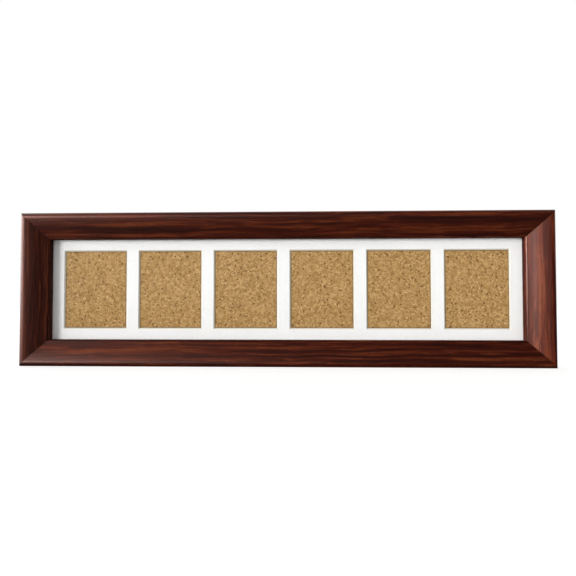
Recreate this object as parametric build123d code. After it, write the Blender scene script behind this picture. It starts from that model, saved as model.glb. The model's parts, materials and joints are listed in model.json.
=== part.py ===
from build123d import *
import math
import os

# Collage photo frame for a wall: four mitred rails of a stained hardwood moulding around a white
# window mat with six openings in one row, behind glass and in front of a cork-faced back panel.
# X runs along the frame, Y from the front to the wall and Z up. The origin is at the middle of the
# bottom edge, half way between the front crest of the moulding and the back of the wall bumpers.
# All lengths are millimetres and all angles are degrees.

# window mat
window_count = 6
window_width = 84.0
window_height = 104.0
window_gap = 18.5
mat_margin_side = 16.0
mat_margin_top = 15.25
mat_thickness = 1.5
mat_bevel_angle = 45.0

# sheets behind the lip of the moulding
glass_thickness = 2.0
back_panel_thickness = 3.0
stack_clearance = 0.3
sheet_side_clearance = 0.5

# section of the moulding, from its outer edge to the lip and from its back to the crest
rail_width = 34.0
lip_overlap = 6.0
lip_wall = 8.7
lip_roll_width = 1.4
lip_roll_height = 2.0
edge_round = 5.0
crest_drop = 10.8
# Ends of the arcs that run down from the crest: share of the rail's width, share of the drop.
shoulder_shares = (0.24, 0.04)
slope_shares = (0.73, 0.66)

# steel V-nails that pull each mitre together
vnail_leg = 5.0
vnail_leg_angle = 60.0
vnail_thickness = 0.6
vnail_height = 8.0
vnail_place_shares = (0.3, 0.7)

# wood screws, the same kind for turn buttons and hanger straps
screw_radius = 1.5
screw_hole_clearance = 0.05
screw_length = 11.0
screw_tip_length = 3.0
screw_tip_radius = 0.2
screw_head_radius = 3.2
screw_head_height = 1.7
screw_head_rim = 0.5
screw_recess_length = 3.6
screw_recess_width = 0.8
screw_recess_depth = 0.9

# turn buttons that hold the back panel in
button_from_rabbet = 8.0
button_reach = 17.0
button_boss_radius = 5.0
button_tip_radius = 3.2
button_thickness = 1.2
button_edge_round = 0.35
button_lift = 0.2
button_head_gap = 0.1
button_hole_clearance = 0.08
button_place_shares = (-0.33, 0.0, 0.33)

# strap hangers with a swinging D-ring, one on each end rail
strap_width = 9.5
strap_sheet = 0.8
strap_length = 28.0
strap_fold_length = 6.5
strap_end_round = 3.0
strap_screw_drop = 20.0
strap_from_edge = 14.0
ring_wire_radius = 1.0
ring_bore_clearance = 0.15
ring_half_width = 7.2
ring_corner_radius = 2.0
ring_drop = 14.0
ring_rest_tilt = 5.0
ring_from_top = 42.0

# rubber bumpers that keep the hardware off the wall
bumper_radius = 6.0
bumper_thickness = 4.5
bumper_edge_round = 0.6
bumper_from_end = 50.0
bumper_from_edge = 14.0

# how far a cutting tool runs past the face that it cuts
overrun = 1.0

# sizes that follow
window_pitch = window_width + window_gap
sight_width = (
    window_count * window_width + (window_count - 1) * window_gap + 2 * mat_margin_side
)
sight_height = window_height + 2 * mat_margin_top
outer_width = sight_width + 2 * rail_width
outer_height = sight_height + 2 * rail_width
rabbet_width = sight_width + 2 * lip_overlap
rabbet_height = sight_height + 2 * lip_overlap
panel_face = stack_clearance + back_panel_thickness
mat_face = panel_face + mat_thickness
ledge_height = mat_face + glass_thickness
lip_height = ledge_height + lip_wall + lip_roll_height
moulding_depth = lip_height + crest_drop
solid_width = rail_width - lip_overlap
back_plane_y = (moulding_depth - bumper_thickness) / 2
ring_axis_z = outer_height - ring_from_top
strap_loop_radius = ring_wire_radius + ring_bore_clearance
ring_axis_lift = strap_sheet + strap_loop_radius
button_pivot_inset = solid_width - button_from_rabbet

# Each rail has a frame of its own: x along the rail, y from its outer edge inwards, z from its back
# to its front. Hardware on the back of a rail is placed in the same frame, with z below zero.
rail_planes = {
    "bottom": Plane(origin=(0, back_plane_y, 0), x_dir=(1, 0, 0), z_dir=(0, -1, 0)),
    "top": Plane(
        origin=(0, back_plane_y, outer_height), x_dir=(-1, 0, 0), z_dir=(0, -1, 0)
    ),
    "left": Plane(
        origin=(-outer_width / 2, back_plane_y, outer_height / 2),
        x_dir=(0, 0, -1),
        z_dir=(0, -1, 0),
    ),
    "right": Plane(
        origin=(outer_width / 2, back_plane_y, outer_height / 2),
        x_dir=(0, 0, 1),
        z_dir=(0, -1, 0),
    ),
}
rail_lengths = {
    "bottom": outer_width,
    "top": outer_width,
    "left": outer_height,
    "right": outer_height,
}
# The sheets lie in a frame at the middle of the back, with z towards the front.
sheet_plane = Plane(
    origin=(0, back_plane_y, outer_height / 2), x_dir=(1, 0, 0), z_dir=(0, -1, 0)
)


def moulding_section():
    """Round-over and crest, long slope, rolled lip, and the rabbet behind it."""
    lip_start = (rail_width - lip_roll_width, lip_height)
    lip_end = (rail_width, lip_height - lip_roll_height)
    curves = [Line((0, 0), (0, moulding_depth - edge_round))]
    curves.append(RadiusArc(curves[-1] @ 1, (edge_round, moulding_depth), edge_round))
    for across, down in (shoulder_shares, slope_shares):
        end = (across * rail_width, moulding_depth - down * crest_drop)
        curves.append(TangentArc(curves[-1] @ 1, end, tangent=curves[-1] % 1))
    curves.append(TangentArc(curves[-1] @ 1, lip_start, tangent=curves[-1] % 1))
    curves.append(TangentArc(lip_start, lip_end, tangent=curves[-1] % 1))
    rabbet = Polyline(
        lip_end,
        (rail_width, ledge_height),
        (solid_width, ledge_height),
        (solid_width, 0),
        (0, 0),
    )
    return make_face([*curves, rabbet])


def mitred_rail(length):
    """One rail with a 45 degree mitre at each end, before its screw holes and nail slots."""
    section = Plane(origin=(-length / 2, 0, 0), x_dir=(0, 1, 0), z_dir=(1, 0, 0))
    bar = extrude(section * moulding_section(), length)
    outline = Polygon(
        (-length / 2, 0),
        (length / 2, 0),
        (length / 2 - rail_width, rail_width),
        (rail_width - length / 2, rail_width),
        align=None,
    )
    return bar & extrude(outline, moulding_depth)


def screw(head_under):
    """Pan-head screw on the z axis, point towards +z, with the underside of its head at head_under."""
    profile = Polyline(
        (0, head_under - screw_head_height),
        (0, screw_length),
        (screw_tip_radius, screw_length),
        (screw_radius, screw_length - screw_tip_length),
        (screw_radius, head_under),
        (screw_head_radius, head_under),
        (screw_head_radius, head_under - screw_head_rim),
    )
    dome = TangentArc(
        profile @ 1, (0, head_under - screw_head_height), tangent=(0, -1)
    )
    body = revolve(Plane.XZ * make_face([profile, dome]), Axis.Z)
    top = head_under - screw_head_height
    slot = Pos(0, 0, top) * Box(
        screw_recess_length, screw_recess_width, 2 * screw_recess_depth
    )
    return body - slot - Rot(0, 0, 90) * slot


def screw_hole():
    """Pilot hole for a screw, cut from the back face of a rail."""
    radius = screw_radius + screw_hole_clearance
    depth = screw_length + screw_hole_clearance
    bore = Cylinder(
        radius, depth + overrun, align=(Align.CENTER, Align.CENTER, Align.MIN)
    )
    return Pos(0, 0, -overrun) * bore


def vnail():
    """V-nail with its point on the z axis, open towards -x, from the back face into the wood."""
    a = math.radians(vnail_leg_angle)
    leg_end = (-vnail_leg * math.cos(a), vnail_leg * math.sin(a))
    leg_inside = (
        leg_end[0] - vnail_thickness * math.sin(a),
        leg_end[1] - vnail_thickness * math.cos(a),
    )
    outline = Polygon(
        (0, 0),
        leg_end,
        leg_inside,
        (-vnail_thickness / math.sin(a), 0),
        (leg_inside[0], -leg_inside[1]),
        (leg_end[0], -leg_end[1]),
        align=None,
    )
    return extrude(outline, vnail_height)


def corner_vnails(side_x, side_z):
    """The V-nails of one corner in the frame of the sheets. side_x and side_z are -1 or 1."""
    turn = math.degrees(math.atan2(side_z, side_x))
    nails = []
    for share in vnail_place_shares:
        inset = share * solid_width
        x = side_x * (outer_width / 2 - inset)
        y = side_z * (outer_height / 2 - inset)
        nails.append(Pos(x, y, 0) * Rot(0, 0, turn) * vnail())
    return nails


def turn_button():
    """Turn button on the z axis, reaching towards +y, flat against the back of a rail."""
    boss = Circle(button_boss_radius)
    tip_y = button_reach - button_tip_radius
    tip = Pos(0, tip_y) * Circle(button_tip_radius)
    outline = make_hull([*boss.edges(), *tip.edges()])
    hole = Circle(screw_radius + button_hole_clearance)
    plate = extrude(outline - hole, button_thickness)
    rear = plate.faces().sort_by(Axis.Z)[0].outer_wire().edges()
    plate = fillet(rear, button_edge_round)
    return Pos(0, 0, -button_lift - button_thickness) * plate


def hanger_strap():
    """Strap bent round the bar of the ring and folded onto itself. The bar lies on the x axis of a
    frame whose y points down the rail and whose z points into the wood."""
    outer_radius = strap_loop_radius + strap_sheet
    wood = ring_axis_lift
    doubled = wood - 2 * strap_sheet
    fold_side = Polygon(
        (0, wood),
        (0, -outer_radius),
        (strap_fold_length, doubled),
        (strap_length, doubled),
        (strap_length, wood),
        align=None,
    )
    fold_gap = Polygon(
        (0, wood - strap_sheet),
        (0, -strap_loop_radius),
        (strap_fold_length - strap_sheet, doubled + strap_sheet),
        align=None,
    )
    side = (fold_side + Circle(outer_radius)) - fold_gap - Circle(strap_loop_radius)
    section = Plane(origin=(-strap_width / 2, 0, 0), x_dir=(0, 1, 0), z_dir=(1, 0, 0))
    strap = extrude(section * side, strap_width)
    corners = strap.edges().filter_by(Axis.Z).group_by(Axis.Y)[-1]
    strap = fillet(corners, strap_end_round)
    hole = Pos(0, strap_screw_drop, 0) * Cylinder(
        screw_radius + screw_hole_clearance, 2 * strap_length
    )
    return strap - hole


def hanger_ring():
    """D-ring in the frame of its strap: straight bar on the x axis, bow hanging towards +y."""
    bar_end = ring_half_width - ring_corner_radius
    bow_start = ring_drop - ring_half_width
    bow_mid = ring_half_width * math.sqrt(0.5)
    path = Wire(
        [
            Line((-bar_end, 0), (bar_end, 0)),
            RadiusArc(
                (bar_end, 0), (ring_half_width, ring_corner_radius), -ring_corner_radius
            ),
            Line((ring_half_width, ring_corner_radius), (ring_half_width, bow_start)),
            ThreePointArc(
                (ring_half_width, bow_start),
                (bow_mid, bow_start + bow_mid),
                (0, ring_drop),
            ),
            ThreePointArc(
                (0, ring_drop),
                (-bow_mid, bow_start + bow_mid),
                (-ring_half_width, bow_start),
            ),
            Line((-ring_half_width, bow_start), (-ring_half_width, ring_corner_radius)),
            RadiusArc(
                (-ring_half_width, ring_corner_radius),
                (-bar_end, 0),
                -ring_corner_radius,
            ),
        ]
    )
    wire_section = Plane(origin=path @ 0, z_dir=path % 0) * Circle(ring_wire_radius)
    return Rot(-ring_rest_tilt, 0, 0) * sweep(wire_section, path=path)


def strap_frame(side):
    """Frame of a strap hanger: x along the bar, y down the end rail, z into the wood."""
    x = side * (outer_width / 2 - strap_from_edge)
    return Plane(
        origin=(x, back_plane_y + ring_axis_lift, ring_axis_z),
        x_dir=(1, 0, 0),
        z_dir=(0, -1, 0),
    ) * Rot(0, 0, 180)


def wall_bumper():
    """Round rubber bumper on the back of a rail, its free face towards the wall."""
    bumper = Cylinder(
        bumper_radius, bumper_thickness, align=(Align.CENTER, Align.CENTER, Align.MAX)
    )
    return fillet(bumper.edges().sort_by(Axis.Z)[0], bumper_edge_round)


def window_mat():
    """Mat board with a row of windows cut at a bevel, wider at the front."""
    board = Pos(0, 0, panel_face) * Box(
        rabbet_width - 2 * sheet_side_clearance,
        rabbet_height - 2 * sheet_side_clearance,
        mat_thickness,
        align=(Align.CENTER, Align.CENTER, Align.MIN),
    )
    spread = 2 * mat_thickness / math.tan(math.radians(mat_bevel_angle))
    back_edge = Pos(0, 0, panel_face) * Rectangle(window_width, window_height)
    front_edge = Pos(0, 0, mat_face) * Rectangle(
        window_width + spread, window_height + spread
    )
    window = loft([back_edge, front_edge], ruled=True)
    for i in range(window_count):
        x = (i - (window_count - 1) / 2) * window_pitch
        board = board - Pos(x, 0, 0) * window
    return board


def sheet(low, thickness):
    """Plain sheet in the rabbet, from height low over the back of the frame."""
    return Pos(0, 0, low) * Box(
        rabbet_width - 2 * sheet_side_clearance,
        rabbet_height - 2 * sheet_side_clearance,
        thickness,
        align=(Align.CENTER, Align.CENTER, Align.MIN),
    )


# where each turn button sits: name, rail, and how far along that rail
button_places = []
for rail in ("top", "bottom"):
    for share, word in zip(button_place_shares, ("left", "middle", "right")):
        along = share * outer_width * (-1 if rail == "top" else 1)
        button_places.append((f"{rail}_{word}", rail, along))
button_places.append(("left_end", "left", 0))
button_places.append(("right_end", "right", 0))

corners = {
    "top_left": (-1, 1),
    "top_right": (1, 1),
    "bottom_left": (-1, -1),
    "bottom_right": (1, -1),
}
head_over_button = -(button_lift + button_thickness + button_head_gap)

nodes = {}
for rail, plane in rail_planes.items():
    nodes[f"{rail}_rail"] = plane * mitred_rail(rail_lengths[rail])

button_screws = []
for name, rail, along in button_places:
    place = rail_planes[rail] * Pos(along, button_pivot_inset, 0)
    nodes[f"turn_button_{name}"] = place * turn_button()
    button_screws.append(place * screw(head_over_button))
    nodes[f"{rail}_rail"] -= place * screw_hole()
nodes["turn_button_screws"] = Compound(children=button_screws)

strap_screws = []
for side, rail in ((-1, "left"), (1, "right")):
    frame = strap_frame(side)
    nodes[f"hanger_strap_{rail}"] = frame * hanger_strap()
    nodes[f"hanger_ring_{rail}"] = frame * hanger_ring()
    place = frame * Pos(0, strap_screw_drop, ring_axis_lift)
    strap_screws.append(place * screw(-2 * strap_sheet))
    nodes[f"{rail}_rail"] -= place * screw_hole()
nodes["hanger_screws"] = Compound(children=strap_screws)

for name, (side_x, side_z) in corners.items():
    nails = [sheet_plane * nail for nail in corner_vnails(side_x, side_z)]
    for rail in ("left" if side_x < 0 else "right", "top" if side_z > 0 else "bottom"):
        for nail in nails:
            nodes[f"{rail}_rail"] -= nail
    nodes[f"corner_nails_{name}"] = Compound(children=nails)
    x = side_x * (outer_width / 2 - bumper_from_end)
    y = side_z * (outer_height / 2 - bumper_from_edge)
    nodes[f"wall_bumper_{name}"] = sheet_plane * Pos(x, y, 0) * wall_bumper()

nodes["back_panel"] = sheet_plane * sheet(stack_clearance, back_panel_thickness)
nodes["window_mat"] = sheet_plane * window_mat()
nodes["glass"] = sheet_plane * sheet(mat_face, glass_thickness)

os.makedirs("parts", exist_ok=True)
for name, shape in nodes.items():
    export_step(shape, f"parts/{name}.step")
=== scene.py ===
import json
import math

import bmesh
import bpy
from mathutils import Matrix, Vector

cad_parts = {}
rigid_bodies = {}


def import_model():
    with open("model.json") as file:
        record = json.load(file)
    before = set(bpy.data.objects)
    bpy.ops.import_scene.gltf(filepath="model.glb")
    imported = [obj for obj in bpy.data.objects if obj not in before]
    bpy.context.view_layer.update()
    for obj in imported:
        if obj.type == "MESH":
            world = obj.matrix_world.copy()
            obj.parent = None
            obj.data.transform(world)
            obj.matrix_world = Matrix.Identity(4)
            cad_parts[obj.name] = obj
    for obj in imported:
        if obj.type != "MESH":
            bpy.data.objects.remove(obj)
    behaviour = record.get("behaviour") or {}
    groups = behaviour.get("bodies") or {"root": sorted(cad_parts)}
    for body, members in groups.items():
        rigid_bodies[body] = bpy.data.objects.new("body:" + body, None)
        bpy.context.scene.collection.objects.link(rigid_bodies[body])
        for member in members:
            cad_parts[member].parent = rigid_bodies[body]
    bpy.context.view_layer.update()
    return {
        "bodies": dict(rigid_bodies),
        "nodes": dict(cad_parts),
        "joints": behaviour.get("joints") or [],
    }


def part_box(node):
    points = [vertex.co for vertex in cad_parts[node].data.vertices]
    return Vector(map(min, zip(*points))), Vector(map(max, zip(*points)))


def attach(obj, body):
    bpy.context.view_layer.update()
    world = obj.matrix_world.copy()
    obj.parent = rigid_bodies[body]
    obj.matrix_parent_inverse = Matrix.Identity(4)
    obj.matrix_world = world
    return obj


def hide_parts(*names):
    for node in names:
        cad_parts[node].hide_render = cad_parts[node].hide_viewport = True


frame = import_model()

# Moulding rails
# Four lengths of hardwood moulding, planed to one section, stained dark red-brown and lacquered.
# Each end is sawn at 45 degrees, glued and drawn tight, so a hairline shows along every mitre.

rail_low, rail_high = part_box("bottom_rail")
outer_width = rail_high.x - rail_low.x
outer_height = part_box("left_rail")[1].z
rail_width = rail_high.z
moulding_depth = rail_high.y - rail_low.y
back_y = rail_high.y
sheet_clearance = 0.0005
lip_overlap = rail_width - (outer_width / 2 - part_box("glass")[1].x) - sheet_clearance
solid_width = rail_width - lip_overlap
ledge_height = back_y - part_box("glass")[0].y
edge_round = 0.005
lip_roll_width = 0.0014
lip_roll_height = 0.0020
lip_wall = 0.0087
# Ends of the arcs that run down from the crest: share of the rail's width, share of the drop.
shoulder_shares = (0.24, 0.04)
slope_shares = (0.73, 0.66)
arris_ease = 0.00012
arris_angle = math.radians(35)
smooth_angle = math.radians(25)
curve_steps = 12

# Grain of the wood: repeats to a metre along and across it, and how far the streaks sway.
sway_scale = (9, 20, 20)
sway_reach = (0, 0.011, 0.011)
broad_scale = (4.5, 240, 240)
fine_scale = (20, 1000, 1000)
pore_scale = (160, 2600, 2600)
fine_share = 0.3
mitre_line_width = 0.0005
grain_depth = 0.00012

stain_shades = (
    (0.36, (0.009, 0.0006, 0.0001)),
    (0.5, (0.045, 0.0042, 0.0006)),
    (0.66, (0.15, 0.031, 0.008)),
)
pore_stain = (0.012, 0.003, 0.002, 1)
mitre_glue = (0.006, 0.002, 0.001, 1)
lacquer_tint = (1, 0.58, 0.5, 1)
dark_grain_roughness = 0.42
light_grain_roughness = 0.32
lip_polish_share = 0.5
lip_polish_edges = (1.5, 0.9)
rabbet_roughness = 0.9
rabbet_edges = (0.0004, 0.0001)
side_roughness = 0.8
side_edges = (0.00002, 0.0002)


def arc_on(points, heading, end):
    """Adds an arc that leaves the last point along heading, and returns its last heading."""
    start = points[-1]
    chord = math.atan2(end[1] - start[1], end[0] - start[0])
    length = math.hypot(end[0] - start[0], end[1] - start[1])
    half = chord - heading
    if abs(half) < 1e-6:
        points.append(end)
        return heading
    radius = length / 2 / math.sin(half)
    middle = (start[0] - radius * math.sin(heading), start[1] + radius * math.cos(heading))
    for i in range(1, curve_steps + 1):
        a = heading + 2 * half * i / curve_steps
        points.append((middle[0] + radius * math.sin(a), middle[1] - radius * math.cos(a)))
    return heading + 2 * half


def moulding_section():
    """Points of the section: distance in from the outer edge, height over the back."""
    lip_height = ledge_height + lip_wall + lip_roll_height
    crest_drop = moulding_depth - lip_height
    points = [(0, 0), (0, moulding_depth - edge_round)]
    heading = arc_on(points, math.pi / 2, (edge_round, moulding_depth))
    for across, down in (shoulder_shares, slope_shares):
        end = (across * rail_width, moulding_depth - down * crest_drop)
        heading = arc_on(points, heading, end)
    heading = arc_on(points, heading, (rail_width - lip_roll_width, lip_height))
    arc_on(points, heading, (rail_width, lip_height - lip_roll_height))
    points += [(rail_width, ledge_height), (solid_width, ledge_height), (solid_width, 0)]
    return points


def add(tree, kind, inputs=None, **settings):
    """Adds a node with its settings, and sets or links its inputs."""
    node = tree.nodes.new(kind)
    for name, value in settings.items():
        setattr(node, name, value)
    for name, value in (inputs or {}).items():
        if isinstance(value, bpy.types.NodeSocket):
            tree.links.new(value, node.inputs[name])
        else:
            node.inputs[name].default_value = value
    return node


def maths(tree, operation, *values):
    """The result of a sum on numbers or sockets."""
    return add(tree, "ShaderNodeMath", dict(enumerate(values)), operation=operation).outputs[0]


def vector_maths(tree, operation, *values):
    """The result of a sum on vectors."""
    return add(tree, "ShaderNodeVectorMath", dict(enumerate(values)), operation=operation).outputs[0]


def split(tree, vector):
    """The X, Y and Z outputs of a vector or a colour."""
    return add(tree, "ShaderNodeSeparateXYZ", {0: vector}).outputs


def span(tree, value, start, end, low=0, high=1, **settings):
    """Follows a value from start to end with a number from low to high, and stays within them."""
    ends = {"Value": value, "From Min": start, "From Max": end, "To Min": low, "To Max": high}
    return add(tree, "ShaderNodeMapRange", ends, **settings).outputs[0]


def mix(tree, share, first, second):
    """A number between two numbers."""
    return add(tree, "ShaderNodeMix", {"Factor": share, "A": first, "B": second}).outputs[0]


def blend(tree, share, first, second):
    """A colour between two colours."""
    ends = {"Factor": share, "A": first, "B": second}
    return add(tree, "ShaderNodeMix", ends, data_type="RGBA").outputs["Result"]


def ramp(tree, factor, stops):
    """A colour that runs through a list of places and colours."""
    node = add(tree, "ShaderNodeValToRGB", {"Fac": factor})
    for i, (place, colour) in enumerate(stops):
        stop = node.color_ramp.elements[i] if i < 2 else node.color_ramp.elements.new(place)
        stop.position = place
        stop.color = (*colour, 1)
    return node.outputs["Color"]


def noise(tree, place, scale, detail, roughness=0.5, output="Fac"):
    """Even noise, or streaks where the scale differs along x, y and z."""
    if isinstance(scale, tuple):
        place = add(tree, "ShaderNodeMapping", {"Vector": place, "Scale": scale}).outputs[0]
        scale = 1
    inputs = {"Vector": place, "Scale": scale, "Detail": detail, "Roughness": roughness}
    return add(tree, "ShaderNodeTexNoise", inputs).outputs[output]


def cells(tree, place, scale, output="Distance", feature="F1"):
    """Cells round scattered points."""
    inputs = {"Vector": place, "Scale": scale}
    return add(tree, "ShaderNodeTexVoronoi", inputs, feature=feature).outputs[output]


def new_tree(name, kind, inputs, outputs):
    """A node group with named inputs and outputs: each is a name, a socket type and a default."""
    tree = bpy.data.node_groups.new(name, kind)
    for way, sockets in (("INPUT", inputs), ("OUTPUT", outputs)):
        for label, socket, value in sockets:
            made = tree.interface.new_socket(label, in_out=way, socket_type=socket)
            if value is not None:
                made.default_value = value
    return tree, tree.nodes.new("NodeGroupInput"), tree.nodes.new("NodeGroupOutput")


def put_out(tree, group_out, results):
    """Links each result to the output of its name."""
    for name, socket in results.items():
        tree.links.new(socket, group_out.inputs[name])


def finish_tree(tree, geometry, material, group_out):
    """Ends a geometry tree in Realize Instances and Set Material."""
    real = add(tree, "GeometryNodeRealizeInstances", {"Geometry": geometry}).outputs[0]
    inputs = {"Geometry": real, "Material": material}
    painted = add(tree, "GeometryNodeSetMaterial", inputs).outputs[0]
    put_out(tree, group_out, {"Geometry": painted})


def keep_result(obj):
    """Makes what the modifiers give the plain mesh of the object, and removes them."""
    evaluated = obj.evaluated_get(bpy.context.evaluated_depsgraph_get())
    obj.data = bpy.data.meshes.new_from_object(evaluated)
    obj.modifiers.clear()
    obj.data.name = obj.name


def run_tree(obj, tree, values, bevel=0):
    """Runs a geometry tree on an object and keeps the result as its plain mesh."""
    modifier = obj.modifiers.new("shape", "NODES")
    modifier.node_group = tree
    ids = {s.name: s.identifier for s in tree.interface.items_tree if s.in_out == "INPUT"}
    for name, value in values.items():
        modifier[ids[name]] = value
    if bevel:
        eased = obj.modifiers.new("arris", "BEVEL")
        eased.width, eased.segments, eased.limit_method = bevel, 2, "ANGLE"
        eased.angle_limit = arris_angle
    keep_result(obj)


def new_piece(name, points, faces, edges=()):
    """A mesh object at the origin."""
    mesh = bpy.data.meshes.new(name)
    mesh.from_pydata([tuple(p) for p in points], list(edges), list(faces))
    obj = bpy.data.objects.new(name, mesh)
    bpy.context.scene.collection.objects.link(obj)
    return obj


def fix(obj, slot, body, *nodes):
    """Puts a made piece in the place of the solids it stands for, on their body."""
    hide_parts(*nodes)
    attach(obj, body)


def material(name):
    """A new material: its tree, its Principled shader and the place on the object."""
    made = bpy.data.materials.new(name)
    made.use_nodes = True
    tree = made.node_tree
    place = add(tree, "ShaderNodeTexCoord").outputs["Object"]
    return made, tree, tree.nodes["Principled BSDF"], place


def dress(tree, shader, colour, height, strength, depth):
    """Links a colour to the shader, and a relief of some depth to its normal."""
    inputs = {"Height": height, "Strength": strength, "Distance": depth}
    bump = add(tree, "ShaderNodeBump", inputs).outputs[0]
    tree.links.new(colour, shader.inputs["Base Color"])
    tree.links.new(bump, shader.inputs["Normal"])


def grain_group():
    """Wavy streaks, pores and the hairline of the mitres. The grain runs along x of its vector."""
    tree, ins, out = new_tree(
        "stained_grain",
        "ShaderNodeTree",
        [
            ("Vector", "NodeSocketVector", None),
            ("Place", "NodeSocketVector", None),
            ("Half Width", "NodeSocketFloat", 0.35),
            ("Half Height", "NodeSocketFloat", 0.1),
            ("Line Width", "NodeSocketFloat", 0.0002),
        ],
        [
            ("Grain", "NodeSocketFloat", None),
            ("Pore", "NodeSocketFloat", None),
            ("Mitre", "NodeSocketFloat", None),
            ("Inset", "NodeSocketFloat", None),
            ("Height", "NodeSocketFloat", None),
        ],
    )
    vector, place, half_width, half_height, line_width = ins.outputs[:5]
    sway = noise(tree, vector, sway_scale, 2, output="Color")
    centred = vector_maths(tree, "SUBTRACT", sway, (0.5, 0.5, 0.5))
    swayed = vector_maths(tree, "ADD", vector, vector_maths(tree, "MULTIPLY", centred, sway_reach))
    broad = noise(tree, swayed, broad_scale, 3, 0.6)
    fine = noise(tree, swayed, fine_scale, 4, 0.55)
    grain = mix(tree, fine_share, broad, fine)
    pore = span(tree, noise(tree, swayed, pore_scale, 1), 0.6, 0.7)
    at = split(tree, place)
    level = maths(tree, "SUBTRACT", at["Z"], half_height)
    side_gap = maths(tree, "SUBTRACT", half_width, maths(tree, "ABSOLUTE", at["X"]))
    end_gap = maths(tree, "SUBTRACT", half_height, maths(tree, "ABSOLUTE", level))
    off_mitre = maths(tree, "ABSOLUTE", maths(tree, "SUBTRACT", side_gap, end_gap))
    put_out(
        tree,
        out,
        {
            "Grain": grain,
            "Pore": pore,
            "Mitre": span(tree, off_mitre, 0, line_width, 1, 0),
            "Inset": maths(tree, "MINIMUM", side_gap, end_gap),
            "Height": maths(tree, "SUBTRACT", grain, pore),
        },
    )
    return tree


stained_grain = grain_group()


def stained_wood(name, turn, shift, tone):
    """Stained hardwood under satin lacquer, its grain along x or turned along z, its stain scaled by
    tone as painted light and shade.
    """
    made, tree, shader, place = material(name)
    inputs = {"Vector": place, "Rotation": (0, turn, 0), "Location": shift}
    turned = add(tree, "ShaderNodeMapping", inputs).outputs[0]
    inputs = {
        "Vector": turned,
        "Place": place,
        "Half Width": outer_width / 2,
        "Half Height": outer_height / 2,
        "Line Width": mitre_line_width,
    }
    grain = add(tree, "ShaderNodeGroup", inputs, node_tree=stained_grain).outputs
    # Painted light and shade: tone lightens or darkens the whole stain of one rail.
    stain = ramp(tree, grain["Grain"], [(at, [tone * c for c in shade]) for at, shade in stain_shades])
    pored = blend(tree, grain["Pore"], stain, pore_stain)
    lined = blend(tree, grain["Mitre"], pored, mitre_glue)
    # The lip is polished, the rabbet is bare sawn wood, and the outer sides have a thin coat.
    satin = span(tree, grain["Grain"], 0.3, 0.7, dark_grain_roughness, light_grain_roughness)
    roll_start, roll_end = (rail_width - share * lip_roll_width for share in lip_polish_edges)
    polish = span(tree, grain["Inset"], roll_start, roll_end, 1, lip_polish_share)
    gloss = maths(tree, "MULTIPLY", satin, polish)
    coat_end, bare_start = (rail_width - gap for gap in rabbet_edges)
    rabbet = span(tree, grain["Inset"], coat_end, bare_start, 0, rabbet_roughness)
    sides = span(tree, grain["Inset"], *side_edges, side_roughness, 0)
    dulled = maths(tree, "MAXIMUM", gloss, maths(tree, "MAXIMUM", rabbet, sides))
    tree.links.new(dulled, shader.inputs["Roughness"])
    dress(tree, shader, lined, grain["Height"], 0.25, grain_depth)
    shader.inputs["Specular IOR Level"].default_value = 0.5
    shader.inputs["Specular Tint"].default_value = lacquer_tint
    return made


def moulding_tree():
    """Extrudes the section along x and shears both ends to 45 degrees, with sharp edges kept."""
    tree, ins, out = new_tree(
        "mitred_moulding",
        "GeometryNodeTree",
        [
            ("Geometry", "NodeSocketGeometry", None),
            ("Length", "NodeSocketFloat", 0.5),
            ("Sharp Angle", "NodeSocketFloat", smooth_angle),
            ("Material", "NodeSocketMaterial", None),
        ],
        [("Geometry", "NodeSocketGeometry", None)],
    )
    section, length, sharp_angle, made = ins.outputs[:4]
    inputs = {"Mesh": section, "Offset": (1, 0, 0), "Offset Scale": length, "Individual": False}
    bar = add(tree, "GeometryNodeExtrudeMesh", inputs)
    near = add(tree, "GeometryNodeFlipFaces", {"Mesh": section})
    both = add(tree, "GeometryNodeJoinGeometry")
    tree.links.new(near.outputs[0], both.inputs[0])
    tree.links.new(bar.outputs["Mesh"], both.inputs[0])
    inputs = {"Geometry": both.outputs[0], "Distance": 1e-6}
    whole = add(tree, "GeometryNodeMergeByDistance", inputs).outputs[0]
    place = split(tree, add(tree, "GeometryNodeInputPosition").outputs[0])
    side = maths(tree, "MULTIPLY_ADD", maths(tree, "DIVIDE", place["X"], length), 2, -1)
    reach = maths(tree, "SUBTRACT", maths(tree, "DIVIDE", length, 2), place["Y"])
    along = maths(tree, "MULTIPLY", side, reach)
    moved = add(tree, "ShaderNodeCombineXYZ", {"X": along, "Y": place["Y"], "Z": place["Z"]})
    inputs = {"Geometry": whole, "Position": moved.outputs[0]}
    mitred = add(tree, "GeometryNodeSetPosition", inputs).outputs[0]
    angle = add(tree, "GeometryNodeInputMeshEdgeAngle").outputs["Unsigned Angle"]
    soft = add(
        tree,
        "FunctionNodeCompare",
        {0: angle, 1: sharp_angle},
        data_type="FLOAT",
        operation="LESS_THAN",
    )
    inputs = {"Geometry": mitred, "Shade Smooth": soft.outputs[0]}
    edges = add(tree, "GeometryNodeSetShadeSmooth", inputs, domain="EDGE").outputs[0]
    faces = add(tree, "GeometryNodeSetShadeSmooth", {"Geometry": edges, "Shade Smooth": True})
    finish_tree(tree, faces.outputs[0], made, out)
    return tree


mitred_moulding = moulding_tree()
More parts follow.
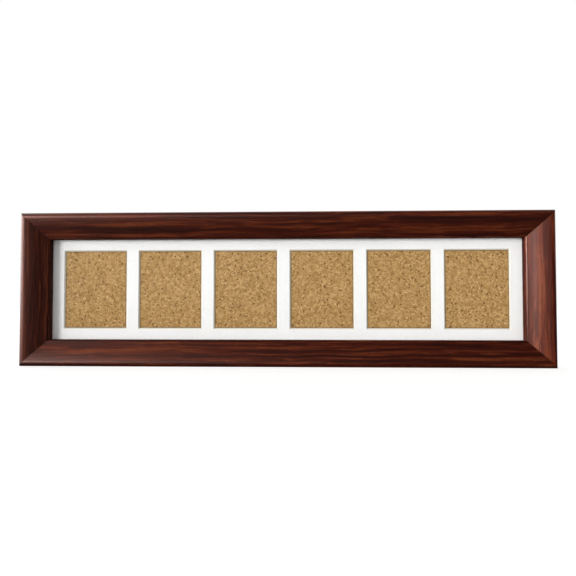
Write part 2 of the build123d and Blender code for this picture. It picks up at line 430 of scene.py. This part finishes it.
# Each rail: its place, its turn in degrees, its length, the place of its grain in the plank, its tone.
# The tones are painted light and shade: the right rail, which faces the lamps, is made lighter,
# the left rail darker, and the top a little darker than the bottom.
rail_places = {
    "bottom": ((0, 0), 0, outer_width, (0.13, 0.02, 0.03), 1.0),
    "right": ((outer_width / 2, outer_height / 2), 90, outer_height, (0.31, 0.05, 0.07), 1.4),
    "top": ((0, outer_height), 180, outer_width, (0.52, 0.11, 0.06), 0.95),
    "left": ((-outer_width / 2, outer_height / 2), 270, outer_height, (0.77, 0.08, 0.12), 0.78),
}
for side, ((x, z), turn, length, shift, tone) in rail_places.items():
    wood = stained_wood(f"stained_wood_{side}", math.radians(turn % 180), shift, tone)
    section = [(0, u, h) for u, h in moulding_section()]
    rail = new_piece(f"moulding_{side}", section, [list(range(len(section)))[::-1]])
    run_tree(rail, mitred_moulding, {"Length": length, "Material": wood}, arris_ease)
    upright = Matrix.Rotation(math.pi / 2, 4, "X")
    turned = Matrix.Rotation(math.radians(-turn), 4, "Y")
    rail.data.transform(Matrix.Translation((x, back_y, z)) @ turned @ upright)
    fix(rail, "wood", "frame", f"{side}_rail")

# Glass
# A sheet of clear float glass that lies against the lip of the moulding.

glass_ior = 1.12
glass_tints = ((0.3, (0.985, 0.995, 0.99)), (0.7, (1, 1, 1)))


def clear_glass():
    """Clear glass that lets light through to the sheets behind it."""
    made, tree, shader, place = material("clear_glass")
    tint = ramp(tree, noise(tree, place, 12, 2), glass_tints)
    tree.links.new(tint, shader.inputs["Base Color"])
    shader.inputs["Transmission Weight"].default_value = 1
    shader.inputs["IOR"].default_value = glass_ior
    shader.inputs["Roughness"].default_value = 0
    path = add(tree, "ShaderNodeLightPath").outputs
    open_way = maths(tree, "MAXIMUM", path["Is Shadow Ray"], path["Is Diffuse Ray"])
    through = add(tree, "ShaderNodeBsdfTransparent").outputs[0]
    inputs = {0: open_way, 1: shader.outputs[0], 2: through}
    mixed = add(tree, "ShaderNodeMixShader", inputs).outputs[0]
    tree.links.new(mixed, tree.nodes["Material Output"].inputs["Surface"])
    return made


def paint_node(name, made):
    """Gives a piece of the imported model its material."""
    mesh = frame["nodes"][name].data
    mesh.materials.clear()
    mesh.materials.append(made)


paint_node("glass", clear_glass())

# Window mat
# White mat board with a cream core. The windows are cut at a bevel, so the core shows round each.

felt_scale = 650
paper_whites = ((0.3, (0.885, 0.88, 0.866)), (0.7, (0.935, 0.932, 0.921)))
core_creams = ((0.3, (0.66, 0.62, 0.53)), (0.7, (0.78, 0.74, 0.65)))
paper_roughness = 0.9
dull_specular = 0.2


def mat_board():
    """White paper on the flat faces, and the core wherever a face is cut aslant."""
    made, tree, shader, place = material("mat_board")
    normal = split(tree, add(tree, "ShaderNodeNewGeometry").outputs["Normal"])
    cut = span(tree, maths(tree, "ABSOLUTE", normal["Y"]), 0.8, 0.95, 1, 0)
    felt = noise(tree, place, felt_scale, 3)
    colour = blend(tree, cut, ramp(tree, felt, paper_whites), ramp(tree, felt, core_creams))
    dress(tree, shader, colour, felt, 0.1, 0.0001)
    shader.inputs["Roughness"].default_value = paper_roughness
    shader.inputs["Specular IOR Level"].default_value = dull_specular
    return made


paint_node("window_mat", mat_board())

# Back panel
# Thin board faced with fine granulated cork. Until prints go in, the cork shows in every window,
# with a painted shadow: a dark line along the edges that the mat covers.

windows = 6
window_pitch = 0.1025
window_width = 0.084
window_height = 0.104
painted_shade_width = 0.0017
cork_grain = 420
speck_spacing = 190
ragged_reach = (0.0022, 0.0022, 0.0022)
cork_tones = (
    (0.16, (0.265, 0.14, 0.042)),
    (0.5, (0.465, 0.274, 0.094)),
    (0.84, (0.69, 0.46, 0.208)),
)
binder_brown = (0.2, 0.1, 0.03, 1)
speck_brown = (0.13, 0.055, 0.017, 1)
painted_shade_brown = (0.09, 0.065, 0.035, 1)
board_scale = (500, 500, 1400)
board_browns = ((0.3, (0.13, 0.07, 0.033)), (0.7, (0.24, 0.145, 0.072)))
cork_roughness = 0.85


def window_edge_gap(tree, place):
    """How far a point of the board lies from the nearest window edge."""
    at = split(tree, place)
    aside = maths(tree, "ADD", at["X"], (windows - 1) % 2 * window_pitch / 2)
    column = maths(tree, "WRAP", aside, -window_pitch / 2, window_pitch / 2)
    off_x = maths(tree, "ABSOLUTE", column)
    off_z = maths(tree, "ABSOLUTE", maths(tree, "SUBTRACT", at["Z"], outer_height / 2))
    gap_x = maths(tree, "SUBTRACT", window_width / 2, off_x)
    gap_z = maths(tree, "SUBTRACT", window_height / 2, off_z)
    return maths(tree, "ABSOLUTE", maths(tree, "MINIMUM", gap_x, gap_z))


def cork_board():
    """Cork granules, binder and dark specks on the front with a painted shade line round each window,
    plain board on the back.
    """
    made, tree, shader, place = material("cork_board")
    stir = noise(tree, place, cork_grain * 2.5, 3, output="Color")
    centred = vector_maths(tree, "SUBTRACT", stir, (0.5, 0.5, 0.5))
    shift = vector_maths(tree, "MULTIPLY", centred, ragged_reach)
    ragged = vector_maths(tree, "ADD", place, shift)
    granules = split(tree, cells(tree, ragged, cork_grain, "Color"))["X"]
    crumbs = split(tree, cells(tree, ragged, cork_grain * 2.7, "Color"))["X"]
    cloud = noise(tree, place, cork_grain * 0.8, 5)
    tone = mix(tree, 0.4, mix(tree, 0.35, granules, crumbs), cloud)
    joints = cells(tree, ragged, cork_grain, feature="DISTANCE_TO_EDGE")
    binder = span(tree, joints, 0.01, 0.13, 0.6, 0)
    bound = blend(tree, binder, ramp(tree, tone, cork_tones), binder_brown)
    specks = span(tree, cells(tree, ragged, speck_spacing), 0.17, 0.28, 0.92, 0)
    chosen = split(tree, cells(tree, ragged, speck_spacing, "Color"))["Y"]
    fleck = maths(tree, "MULTIPLY", specks, maths(tree, "GREATER_THAN", chosen, 0.55))
    specked = blend(tree, fleck, bound, speck_brown)
    # Painted shade: the cork darkens in a thin line along each window edge, as if the mat's cut edge
    # shaded it.
    rim = span(tree, window_edge_gap(tree, place), 0, painted_shade_width, 0.95, 0)
    face = blend(tree, rim, specked, painted_shade_brown)
    board = ramp(tree, noise(tree, place, board_scale, 5), board_browns)
    normal = split(tree, add(tree, "ShaderNodeNewGeometry").outputs["Normal"])
    behind = maths(tree, "GREATER_THAN", normal["Y"], -0.5)
    dress(tree, shader, blend(tree, behind, face, board), tone, 0.35, 0.0003)
    shader.inputs["Roughness"].default_value = cork_roughness
    shader.inputs["Specular IOR Level"].default_value = dull_specular
    return made


paint_node("back_panel", cork_board())

# Corner nails
# V-nails of thin spring steel, pressed into the back across each mitre, two to a corner.

nail_leg = 0.005
nail_leg_angle = math.radians(60)
nail_thickness = 0.0006
nail_height = 0.008
nail_proud = 0.00005
nail_place_shares = (0.3, 0.7)
patch_scale = 260
brushed_scale = (900, 9000, 9000)
brushed_depth = 0.00002


def worn_metal_group():
    """Plating with a fine brushed grain, duller in patches."""
    tree, ins, out = new_tree(
        "worn_plating",
        "ShaderNodeTree",
        [
            ("Vector", "NodeSocketVector", None),
            ("Bright", "NodeSocketColor", (0.7, 0.7, 0.7, 1)),
            ("Dull", "NodeSocketColor", (0.5, 0.5, 0.5, 1)),
            ("Smooth", "NodeSocketFloat", 0.25),
            ("Rough", "NodeSocketFloat", 0.45),
        ],
        [
            ("Colour", "NodeSocketColor", None),
            ("Roughness", "NodeSocketFloat", None),
            ("Height", "NodeSocketFloat", None),
        ],
    )
    vector, bright, dull, smooth, rough = ins.outputs[:5]
    patches = span(tree, noise(tree, vector, patch_scale, 4), 0.35, 0.65)
    put_out(
        tree,
        out,
        {
            "Colour": blend(tree, patches, bright, dull),
            "Roughness": mix(tree, patches, smooth, rough),
            "Height": noise(tree, vector, brushed_scale, 2),
        },
    )
    return tree


worn_plating = worn_metal_group()


def plated(name, bright, dull, smooth, rough):
    """Plated steel: a bright and a dull colour, and the roughness of each."""
    made, tree, shader, place = material(name)
    inputs = {
        "Vector": place,
        "Bright": (*bright, 1),
        "Dull": (*dull, 1),
        "Smooth": smooth,
        "Rough": rough,
    }
    worn = add(tree, "ShaderNodeGroup", inputs, node_tree=worn_plating).outputs
    dress(tree, shader, worn["Colour"], worn["Height"], 0.2, brushed_depth)
    tree.links.new(worn["Roughness"], shader.inputs["Roughness"])
    shader.inputs["Metallic"].default_value = 1
    return made


def copies_tree():
    """Copies a shape onto each point, turned about y by the point's turn and a random spin."""
    tree, ins, out = new_tree(
        "placed_hardware",
        "GeometryNodeTree",
        [
            ("Geometry", "NodeSocketGeometry", None),
            ("Shape", "NodeSocketObject", None),
            ("Spin", "NodeSocketFloat", 0.0),
            ("Seed", "NodeSocketInt", 3),
            ("Material", "NodeSocketMaterial", None),
        ],
        [("Geometry", "NodeSocketGeometry", None)],
    )
    points, shape, spin, seed, made = ins.outputs[:5]
    one = add(tree, "GeometryNodeObjectInfo", {"Object": shape}).outputs["Geometry"]
    inputs = {"Name": "turn"}
    own = add(tree, "GeometryNodeInputNamedAttribute", inputs, data_type="FLOAT").outputs[0]
    inputs = {2: 0.0, 3: spin, "Seed": seed}
    chance = add(tree, "FunctionNodeRandomValue", inputs, data_type="FLOAT").outputs[1]
    about_y = add(tree, "ShaderNodeCombineXYZ", {"Y": maths(tree, "ADD", own, chance)}).outputs[0]
    inputs = {"Points": points, "Instance": one, "Rotation": about_y}
    copies = add(tree, "GeometryNodeInstanceOnPoints", inputs).outputs[0]
    finish_tree(tree, copies, made, out)
    return tree


placed_hardware = copies_tree()


def place_copies(name, shape, places, made, spin=0.0):
    """One mesh of copies of a shape. Each place is x, y, z and a turn about y."""
    obj = new_piece(name, [p[:3] for p in places], [])
    turns = obj.data.attributes.new("turn", "FLOAT", "POINT")
    turns.data.foreach_set("value", [p[3] for p in places])
    run_tree(obj, placed_hardware, {"Shape": shape, "Spin": spin, "Material": made})
    bpy.data.objects.remove(shape)
    return obj


def prism(name, outline, low, high):
    """A solid with an outline in x and z, from y low to y high."""
    n = len(outline)
    points = [(x, y, z) for y in (low, high) for x, z in outline]
    walls = [(i + n, (i + 1) % n + n, (i + 1) % n, i) for i in range(n)]
    return new_piece(name, points, [list(range(n)), list(range(n, 2 * n))[::-1], *walls])


leg_x, leg_z = -nail_leg * math.cos(nail_leg_angle), nail_leg * math.sin(nail_leg_angle)
slip_x = nail_thickness * math.sin(nail_leg_angle)
slip_z = nail_thickness * math.cos(nail_leg_angle)
nail_outline = [
    (0, 0),
    (leg_x, leg_z),
    (leg_x - slip_x, leg_z - slip_z),
    (-nail_thickness / math.sin(nail_leg_angle), 0),
    (leg_x - slip_x, slip_z - leg_z),
    (leg_x, -leg_z),
]
nail_places = []
for side_x in (-1, 1):
    for side_z in (-1, 1):
        for share in nail_place_shares:
            inset = share * solid_width
            x = side_x * (outer_width / 2 - inset)
            z = outer_height / 2 + side_z * (outer_height / 2 - inset)
            nail_places.append((x, back_y, z, -math.atan2(side_z, side_x)))
nail = prism("nail_shape", nail_outline, -nail_height, nail_proud)
nail_steel = plated("nail_steel", (0.42, 0.42, 0.43), (0.26, 0.25, 0.24), 0.3, 0.5)
nails = place_copies("corner_nails", nail, nail_places, nail_steel)
corners = ("top_left", "top_right", "bottom_left", "bottom_right")
fix(nails, "nail_steel", "frame", *[f"corner_nails_{corner}" for corner in corners])

# Turn buttons
# Stamped steel buttons that swing over the edge of the back panel. Each is pressed with a rib down
# its middle, rolled over at its rim, zinc plated, and turns on one wood screw.

button_reach = 0.017
button_boss = 0.005
button_tip = 0.0032
button_thickness = 0.0012
button_hole = 0.00158
button_roll = 0.0005
button_crease = math.radians(35)
rib_height = 0.00045
rib_half_width = 0.0015
rib_start = 0.0050
button_turns = 150
button_rings = 24
# Points crowd towards the tip by this much, where the rim turns the most.
tip_crowding = 0.7


def weld_and_face(obj):
    """Merges doubles and points all faces outwards."""
    mesh = bmesh.new()
    mesh.from_mesh(obj.data)
    bmesh.ops.remove_doubles(mesh, verts=mesh.verts, dist=1e-7)
    bmesh.ops.dissolve_degenerate(mesh, edges=mesh.edges, dist=1e-8)
    bmesh.ops.recalc_face_normals(mesh, faces=mesh.faces)
    mesh.to_mesh(obj.data)
    mesh.free()


def shade(obj, crease):
    """Shades a piece smooth, with a sharp edge wherever it folds past the crease."""
    obj.data.shade_smooth()
    obj.data.set_sharp_from_angle(angle=crease)


def button_rim(angle):
    """How far the rim of the button is from the screw, at an angle from its long axis."""
    gap = button_reach - button_tip
    lean = math.asin((button_boss - button_tip) / gap)
    a = abs(math.atan2(math.sin(angle), math.cos(angle)))
    if a >= math.pi / 2 - lean:
        return button_boss
    tip_start = math.atan2(button_tip * math.cos(lean), gap + button_tip * math.sin(lean))
    if a > tip_start:
        return button_boss / math.cos(math.pi / 2 - lean - a)
    return gap * math.cos(a) + math.sqrt(button_tip**2 - (gap * math.sin(a)) ** 2)


def pressed_height(x, z, from_rim):
    """Height of the pressed side over the flat side: the rolled rim and the rib."""
    edge = max(0, button_roll - from_rim) / button_roll
    roll = button_roll * (1 - math.sqrt(max(0, 1 - edge * edge)))
    beyond = max(rib_start - z, z - (button_reach - button_tip), 0)
    away = min(1, math.hypot(x, beyond) / rib_half_width)
    rib = rib_height * (0.5 + 0.5 * math.cos(math.pi * away))
    return button_thickness - rib_height - roll + rib


def button_mesh(name):
    """The button about its screw, reaching along z, its flat side at y 0, its pressed side at +y."""
    points, faces = [], []
    for pressed in (False, True):
        for ring in range(button_rings + 1):
            share = 1 - (1 - ring / button_rings) ** 2
            for i in range(button_turns):
                whole = 2 * math.pi * i / button_turns
                angle = whole - tip_crowding * math.sin(whole)
                rim = button_rim(angle)
                reach = button_hole + (rim - button_hole) * share
                x, z = reach * math.sin(angle), reach * math.cos(angle)
                points.append((x, pressed_height(x, z, rim - reach) if pressed else 0, z))
    count = (button_rings + 1) * button_turns
    for ring in range(button_rings):
        for i in range(button_turns):
            a, b = ring * button_turns + i, ring * button_turns + (i + 1) % button_turns
            c, d = b + button_turns, a + button_turns
            faces.append((a, b, c, d))
            faces.append((a + count, d + count, c + count, b + count))
    last = button_rings * button_turns
    for i in range(button_turns):
        j = (i + 1) % button_turns
        faces.append((i, i + count, j + count, j))
        faces.append((last + i, last + j, last + j + count, last + i + count))
    obj = new_piece(name, points, faces)
    weld_and_face(obj)
    shade(obj, button_crease)
    return obj


zinc = plated("zinc_button", (0.62, 0.63, 0.64), (0.46, 0.46, 0.46), 0.28, 0.46)
joint_at = {j["child"]: Vector(j["pos_m"]) for j in frame["joints"]}
button_turn = {"top": math.pi, "bottom": 0, "left": math.pi / 2, "right": -math.pi / 2}
button_pivots = []
for body in frame["bodies"]:
    if not body.startswith("turn_button"):
        continue
    pivot = joint_at[body]
    button = button_mesh(body.replace("turn_button", "pressed_button"))
    turned = Matrix.Rotation(button_turn[body.split("_")[2]], 4, "Y")
    button.data.transform(Matrix.Translation((pivot.x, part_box(body)[0].y, pivot.z)) @ turned)
    button.data.materials.append(zinc)
    fix(button, "button_steel", body, body)
    button_pivots.append(pivot)

# Wood screws
# Zinc plated pan-head wood screws with a cross recess, run in by hand, so no two slots line up.
# One holds each turn button, and one each strap.

screw_radius = 0.0015
head_radius = 0.0032
head_height = 0.0017
head_rim = 0.0005
head_steps = 8
recess_half = 0.0018
recess_width = 0.0008
recess_depth = 0.0009
recess_ease = 0.00008
screw_steps = 40
screw_crease = math.radians(30)
quarter_turn = math.pi / 2


def screw_shape(name):
    """A screw head and shank about y, the underside of the head at y 0 and its top at +y."""
    rise = head_height - head_rim
    dome = (rise**2 + head_radius**2) / (2 * rise)
    spread = math.asin(head_radius / dome)
    profile = [(0, -head_height), (screw_radius, -head_height), (screw_radius, 0), (head_radius, 0)]
    for i in range(head_steps + 1):
        a = spread * (1 - i / head_steps)
        profile.append((dome * math.sin(a), head_height - dome * (1 - math.cos(a))))
    points, faces = [], []
    for r, y in profile:
        for i in range(screw_steps):
            a = 2 * math.pi * i / screw_steps
            points.append((r * math.cos(a), y, r * math.sin(a)))
    for k in range(len(profile) - 1):
        low, high = k * screw_steps, (k + 1) * screw_steps
        for i in range(screw_steps):
            j = (i + 1) % screw_steps
            faces.append((low + i, high + i, high + j, low + j))
    head = new_piece(name, points, faces)
    w, l = recess_width / 2, recess_half
    quarter = [(w, l), (w, w), (l, w)]
    cross = []
    for x_way, z_way in ((1, 1), (1, -1), (-1, -1), (-1, 1)):
        corner = [(x_way * x, z_way * z) for x, z in quarter]
        cross += corner if x_way == z_way else corner[::-1]
    cutter = prism("recess", cross, head_height - recess_depth, 2 * head_height)
    for obj in (head, cutter):
        weld_and_face(obj)
    cut = head.modifiers.new("recess", "BOOLEAN")
    cut.operation, cut.solver, cut.object = "DIFFERENCE", "EXACT", cutter
    eased = head.modifiers.new("edge", "BEVEL")
    eased.width, eased.segments, eased.limit_method = recess_ease, 2, "ANGLE"
    keep_result(head)
    shade(head, screw_crease)
    bpy.data.objects.remove(cutter)
    return head


screw_steel = plated("screw_zinc", (0.66, 0.65, 0.62), (0.48, 0.46, 0.42), 0.24, 0.42)
button_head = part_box("turn_button_screws")[1].y - head_height
heads = [(p.x, button_head, p.z, 0) for p in button_pivots]
screws = place_copies("button_screws", screw_shape("screw"), heads, screw_steel, quarter_turn)
fix(screws, "screw_steel", "frame", "turn_button_screws")

# Strap hangers
# A strip of nickel plated steel, folded round the bar of a D-ring and screwed to each end rail.
# The ring is bent from round wire and swings in the fold.

strap_screw_drop = 0.020
ring_wire = 0.001
ring_half_width = 0.0072
ring_corner = 0.002
ring_drop = 0.014
ring_tilt = math.radians(5)
bar_steps = 8
corner_steps = 8
bow_steps = 40

nickel = plated("nickel", (0.72, 0.70, 0.66), (0.56, 0.54, 0.5), 0.18, 0.36)
ring_axes = {side: joint_at[f"hanger_ring_{side}"] for side in ("left", "right")}
strap_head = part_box("hanger_screws")[1].y - head_height
heads = [(axis.x, strap_head, axis.z - strap_screw_drop, 0) for axis in ring_axes.values()]
screws = place_copies("strap_screws", screw_shape("strap_screw"), heads, screw_steel, quarter_turn)
fix(screws, "screw_steel", "frame", "hanger_screws")


def wire_tree():
    """Draws a round wire along a closed line."""
    tree, ins, out = new_tree(
        "bent_wire",
        "GeometryNodeTree",
        [
            ("Geometry", "NodeSocketGeometry", None),
            ("Wire Radius", "NodeSocketFloat", 0.001),
            ("Sides", "NodeSocketInt", 20),
            ("Material", "NodeSocketMaterial", None),
        ],
        [("Geometry", "NodeSocketGeometry", None)],
    )
    edges, radius, sides, made = ins.outputs[:4]
    line = add(tree, "GeometryNodeMeshToCurve", {"Mesh": edges}).outputs[0]
    inputs = {"Resolution": sides, "Radius": radius}
    ring = add(tree, "GeometryNodeCurvePrimitiveCircle", inputs).outputs[0]
    inputs = {"Curve": line, "Profile Curve": ring}
    wire = add(tree, "GeometryNodeCurveToMesh", inputs).outputs[0]
    smooth = add(tree, "GeometryNodeSetShadeSmooth", {"Geometry": wire}).outputs[0]
    finish_tree(tree, smooth, made, out)
    return tree


def ring_line():
    """The middle line of the D-ring: bar along x, bow hanging along -z, tilted off the strap."""
    bar = ring_half_width - ring_corner
    bow = ring_drop - ring_half_width
    flat = [(bar * (2 * i / bar_steps - 1), 0) for i in range(bar_steps)]
    for i in range(corner_steps + 1):
        a = math.pi / 2 * i / corner_steps
        flat.append((bar + ring_corner * math.sin(a), ring_corner * (1 - math.cos(a))))
    for i in range(bow_steps + 1):
        a = math.pi * i / bow_steps
        flat.append((ring_half_width * math.cos(a), bow + ring_half_width * math.sin(a)))
    for i in range(corner_steps):
        a = math.pi / 2 * i / corner_steps
        flat.append((-bar - ring_corner * math.cos(a), ring_corner * (1 - math.sin(a))))
    return [(x, drop * math.sin(ring_tilt), -drop * math.cos(ring_tilt)) for x, drop in flat]


bent_wire = wire_tree()
for side, axis in ring_axes.items():
    line = ring_line()
    edges = [(i, (i + 1) % len(line)) for i in range(len(line))]
    ring = new_piece(f"d_ring_{side}", line, [], edges)
    run_tree(ring, bent_wire, {"Wire Radius": ring_wire, "Material": nickel})
    ring.data.transform(Matrix.Translation(axis))
    fix(ring, "hanger_steel", f"hanger_ring_{side}", f"hanger_ring_{side}")
    paint_node(f"hanger_strap_{side}", nickel)

# Wall bumpers
# Round pads of moulded black rubber, stuck to the back near the corners. They keep the hardware
# off the wall.

rubber_blacks = ((0.35, (0.02, 0.02, 0.021)), (0.7, (0.045, 0.044, 0.043)))
bloom_scale = 300
skin_scale = 2500


def moulded_rubber():
    """Black rubber with a faint bloom, duller where the bloom is."""
    made, tree, shader, place = material("moulded_rubber")
    bloom = noise(tree, place, bloom_scale, 4)
    skin = noise(tree, place, skin_scale, 1)
    dress(tree, shader, ramp(tree, bloom, rubber_blacks), skin, 0.2, 0.00005)
    tree.links.new(span(tree, bloom, 0.3, 0.7, 0.55, 0.75), shader.inputs["Roughness"])
    return made


rubber = moulded_rubber()
for corner in corners:
    paint_node(f"wall_bumper_{corner}", rubber)

# Stage
# A pale floor and a white background, which straight views and views through the glass show. The
# lacquer mirrors a dim studio with four light walls, so that its dark colour stays.

floor_half = 4.0
floor_grey = (0.45, 0.45, 0.45, 1)
mirrored_grey = (0.06, 0.06, 0.06, 1)
floor_lift = 0.7
sky_slope = (-0.14, -0.2, 0.04)
sky_level = 0.54
mirrored_level = 0.03
# Each light wall: where it stands, the edges of its fade as cosines, its level, its squash.
light_walls = (
    ((-0.74, -0.62, 0.26), 0.80, 0.96, 0.6, 0.35),
    ((-1, 0, 0), 0.87, 0.97, 8.0, 0.35),
    ((0, 1, 0), -0.3, 0.3, 1.0, 0.35),
    ((-0.5, -0.87, 0), 0.79, 0.94, 2.2, 2.5),
)


def pale_floor():
    """A pale floor that keeps shadows and looks near white from the camera."""
    made, tree, shader, _ = material("pale_floor")
    shader.inputs["Roughness"].default_value = 0.9
    shader.inputs["Emission Color"].default_value = (1, 1, 1, 1)
    path = add(tree, "ShaderNodeLightPath").outputs
    grey = blend(tree, path["Is Glossy Ray"], floor_grey, mirrored_grey)
    seen = maths(tree, "MAXIMUM", path["Is Camera Ray"], path["Is Transmission Ray"])
    lift = maths(tree, "MULTIPLY", seen, floor_lift)
    tree.links.new(grey, shader.inputs["Base Color"])
    tree.links.new(lift, shader.inputs["Emission Strength"])
    return made


floor_points = [(x * floor_half, y * floor_half, 0) for x, y in ((-1, -1), (1, -1), (1, 1), (-1, 1))]
floor = new_piece("floor", floor_points, [(0, 1, 2, 3)])
floor.data.materials.append(pale_floor())

world = bpy.data.worlds.new("studio")
bpy.context.scene.world = world
world.use_nodes = True
sky = world.node_tree
background = sky.nodes["Background"]
path = add(sky, "ShaderNodeLightPath").outputs
seen = maths(sky, "MAXIMUM", path["Is Camera Ray"], path["Is Transmission Ray"])
way = add(sky, "ShaderNodeTexCoord").outputs["Generated"]
slope = add(sky, "ShaderNodeVectorMath", {0: way, 1: sky_slope}, operation="DOT_PRODUCT")
dim = maths(sky, "ADD", slope.outputs["Value"], sky_level)
mirrored = mirrored_level
for toward, edge, full, level, squash in light_walls:
    flat = vector_maths(sky, "NORMALIZE", vector_maths(sky, "MULTIPLY", way, (1, 1, squash)))
    aim = add(sky, "ShaderNodeVectorMath", {0: flat, 1: toward}, operation="DOT_PRODUCT")
    aim = aim.outputs["Value"]
    lit = span(sky, aim, edge, full, mirrored_level, level, interpolation_type="SMOOTHSTEP")
    mirrored = maths(sky, "MAXIMUM", lit, mirrored)
unlit = mix(sky, path["Is Glossy Ray"], dim, mirrored)
background.inputs["Color"].default_value = (1, 1, 1, 1)
sky.links.new(mix(sky, seen, unlit, 1.0), background.inputs["Strength"])

# Lamps: a key and a side light from the front left, and a rim light from the back left. Each has
# its strength, its spread in degrees and its direction, and whether the gloss shows it.
for name, energy, spread, way, mirrored in (
    ("key", 2.6, 22, Vector((0.66, 0.75, -0.06)), True),
    ("side", 1.3, 34, Vector((0.95, 0.31, -0.06)), True),
    ("rim", 2.8, 30, Vector((0.72, -0.66, -0.22)), False),
):
    light = bpy.data.lights.new(name, "SUN")
    light.energy, light.angle = energy, math.radians(spread)
    lamp = bpy.data.objects.new(name, light)
    bpy.context.scene.collection.objects.link(lamp)
    lamp.rotation_euler = way.to_track_quat("-Z", "Y").to_euler()
    lamp.visible_transmission = False
    lamp.visible_glossy = mirrored

# The camera stands where the photograph was taken: its focal length in pixels, over a picture
# 576 pixels wide, follows from the edges of the frame.
focal_pixels = 450
picture_pixels = 576
sensor_width = 36
camera = bpy.data.objects.new("camera", bpy.data.cameras.new("camera"))
bpy.context.scene.collection.objects.link(camera)
camera.data.sensor_width = sensor_width
camera.data.lens = focal_pixels / picture_pixels * sensor_width
camera.location = (0.02573, -0.59632, 0.08745)
camera.rotation_euler = tuple(math.radians(a) for a in (91.4759, 0.0276, 1.8984))
camera.data.clip_start, camera.data.clip_end = 0.01, 50
bpy.context.scene.camera = camera
bpy.context.scene.view_settings.view_transform = "Standard"
